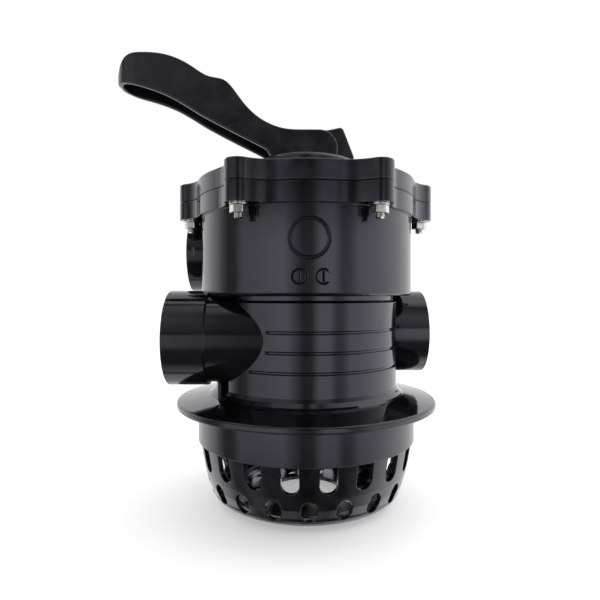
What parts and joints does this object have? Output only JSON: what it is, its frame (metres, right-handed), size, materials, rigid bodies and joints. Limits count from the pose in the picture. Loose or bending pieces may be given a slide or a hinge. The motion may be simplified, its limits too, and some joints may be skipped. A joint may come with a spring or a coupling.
{
  "type": "multiport valve",
  "caption": "Top-mount filter valve with a clamp flange, slotted basket, three pipe sockets and a lever handle that lifts and turns its rotor.",
  "frame": {"origin": "on the valve axis, in the plane of the clamp flange's underside", "axes": "+Z along the valve axis up to the handle, -X the way the handle's grip and the two left sockets point, -Y the front"},
  "size_m": [0.2404, 0.194, 0.3316],
  "materials": {
    "glossy_abs": "glossy moulded black ABS",
    "basket_abs": "satin moulded black ABS",
    "cover_abs": "satin moulded black ABS",
    "handle_abs": "fine satin black ABS",
    "rotor_noryl": "matt moulded black",
    "seal_rubber": "matt black nitrile",
    "stainless_steel": "bright rolled stainless",
    "acetal": "natural white acetal",
    "plate_vinyl": "printed grey plate",
    "clear_polycarbonate": "clear polycarbonate"
  },
  "bodies": {
    "housing": {"valve_body": "glossy_abs", "diffuser_basket": "basket_abs", "tank_o_ring": "seal_rubber", "riser_o_ring": "seal_rubber", "riser_seal_ring": "acetal", "spider_gasket": "seal_rubber", "cover": "cover_abs", "cover_o_ring": "seal_rubber", "cover_bolts": "stainless_steel", "head_washers": "stainless_steel", "nut_washers": "stainless_steel", "cover_nuts": "stainless_steel", "position_plate": "plate_vinyl", "gauge_plug": "glossy_abs", "gauge_plug_o_ring": "seal_rubber", "sight_glass": "clear_polycarbonate", "sight_glass_o_ring": "seal_rubber", "sight_glass_ring": "glossy_abs"},
    "slip_rings": {"handle_washer": "acetal", "upper_spring_washer": "stainless_steel", "spring": "stainless_steel"},
    "rotor": {"rotor": "rotor_noryl", "lower_stem_o_ring": "seal_rubber", "upper_stem_o_ring": "seal_rubber", "lower_spring_washer": "stainless_steel", "handle_pin": "stainless_steel"},
    "handle": {"handle": "handle_abs"}
  },
  "joints": [
    {"name": "rotor_turn", "type": "hinge", "parent": "housing", "child": "slip_rings", "pos_m": [0, 0, 0], "axis": [0, 0, 1], "continuous": true},
    {"name": "rotor_lift", "type": "slide", "parent": "slip_rings", "child": "rotor", "axis": [0, 0, 1], "range_m": [0, 0.0058], "stiffness_N_per_m": 800, "springref_m": -0.012, "deforming": ["spring"]},
    {"name": "handle_tilt", "type": "hinge", "parent": "rotor", "child": "handle", "pos_m": [0, 0, 0.184], "axis": [0, -1, 0], "range_deg": [0, 24]}
  ],
  "couplings": [
    {"joint": "rotor_lift", "follows": "handle_tilt", "m_per_rad": 0.01375}
  ]
}
